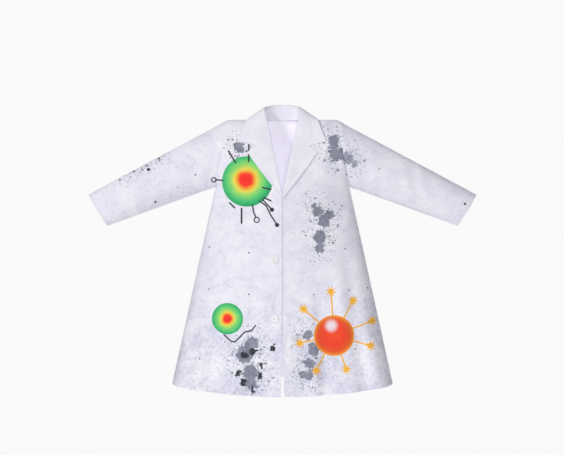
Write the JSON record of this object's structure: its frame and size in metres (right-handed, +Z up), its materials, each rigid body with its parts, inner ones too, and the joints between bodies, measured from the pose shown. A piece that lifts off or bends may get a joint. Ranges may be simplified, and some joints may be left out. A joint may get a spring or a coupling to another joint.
{
  "type": "lab coat",
  "caption": "Child-size long-sleeved lab coat with notched collar, open front, buttons and a printed splash and microbe pattern, standing open as if worn.",
  "frame": {"origin": "middle of the neck opening, level with the shoulder seams", "axes": "+X towards the wearer's left sleeve, +Y towards the wearer's back, +Z up"},
  "size_m": [1.0066, 0.1508, 0.7541],
  "materials": {
    "printed_cloth": "matt woven polyester, white, printed outside with grey splashes and coloured microbes",
    "plain_cloth": "matt woven polyester, plain white",
    "button_plastic": "white moulded plastic with a soft gloss",
    "sewing_thread": "white sewing thread"
  },
  "bodies": {
    "coat_body": {"back_panel": "printed_cloth", "left_front": "printed_cloth", "right_front": "printed_cloth", "left_sleeve_head": "printed_cloth", "right_sleeve_head": "printed_cloth", "top_collar": "plain_cloth", "under_collar": "plain_cloth", "left_collar_stand": "plain_cloth", "right_collar_stand": "plain_cloth"},
    "left_flap": {"left_front_flap": "printed_cloth", "left_facing": "plain_cloth"},
    "right_flap": {"right_front_flap": "printed_cloth", "right_facing": "plain_cloth", "upper_button": "button_plastic", "upper_button_thread": "sewing_thread", "lower_button": "button_plastic", "lower_button_thread": "sewing_thread"},
    "left_lapel": {"left_lapel_under": "plain_cloth", "left_lapel_face": "plain_cloth", "left_collar_leaf_under": "plain_cloth", "left_collar_leaf_face": "plain_cloth"},
    "right_lapel": {"right_lapel_under": "plain_cloth", "right_lapel_face": "plain_cloth", "right_collar_leaf_under": "plain_cloth", "right_collar_leaf_face": "plain_cloth"},
    "left_arm": {"left_sleeve": "printed_cloth"},
    "right_arm": {"right_sleeve": "printed_cloth"}
  },
  "joints": [
    {"name": "left_front_opens", "type": "hinge", "parent": "coat_body", "child": "left_flap", "pos_m": [0.00005, -0.06815, -0.20499], "axis": [-0.4496, -0.0283, 0.8928], "range_deg": [0, 110]},
    {"name": "right_front_opens", "type": "hinge", "parent": "coat_body", "child": "right_flap", "pos_m": [-0.00005, -0.06815, -0.20499], "axis": [-0.4496, 0.0283, -0.8928], "range_deg": [0, 110]},
    {"name": "left_lapel_turns_up", "type": "hinge", "parent": "coat_body", "child": "left_lapel", "pos_m": [0, -0.06813, -0.20487], "axis": [-0.1937, -0.2521, -0.9481], "range_deg": [0, 90]},
    {"name": "right_lapel_turns_up", "type": "hinge", "parent": "coat_body", "child": "right_lapel", "pos_m": [0, -0.06813, -0.20487], "axis": [-0.1937, 0.2521, 0.9481], "range_deg": [0, 90]},
    {"name": "left_sleeve_swings", "type": "hinge", "parent": "coat_body", "child": "left_arm", "pos_m": [0.1565, 0, -0.086], "axis": [0, -1, 0], "range_deg": [-25, 45]},
    {"name": "right_sleeve_swings", "type": "hinge", "parent": "coat_body", "child": "right_arm", "pos_m": [-0.1565, 0, -0.086], "axis": [0, 1, 0], "range_deg": [-25, 45]}
  ]
}
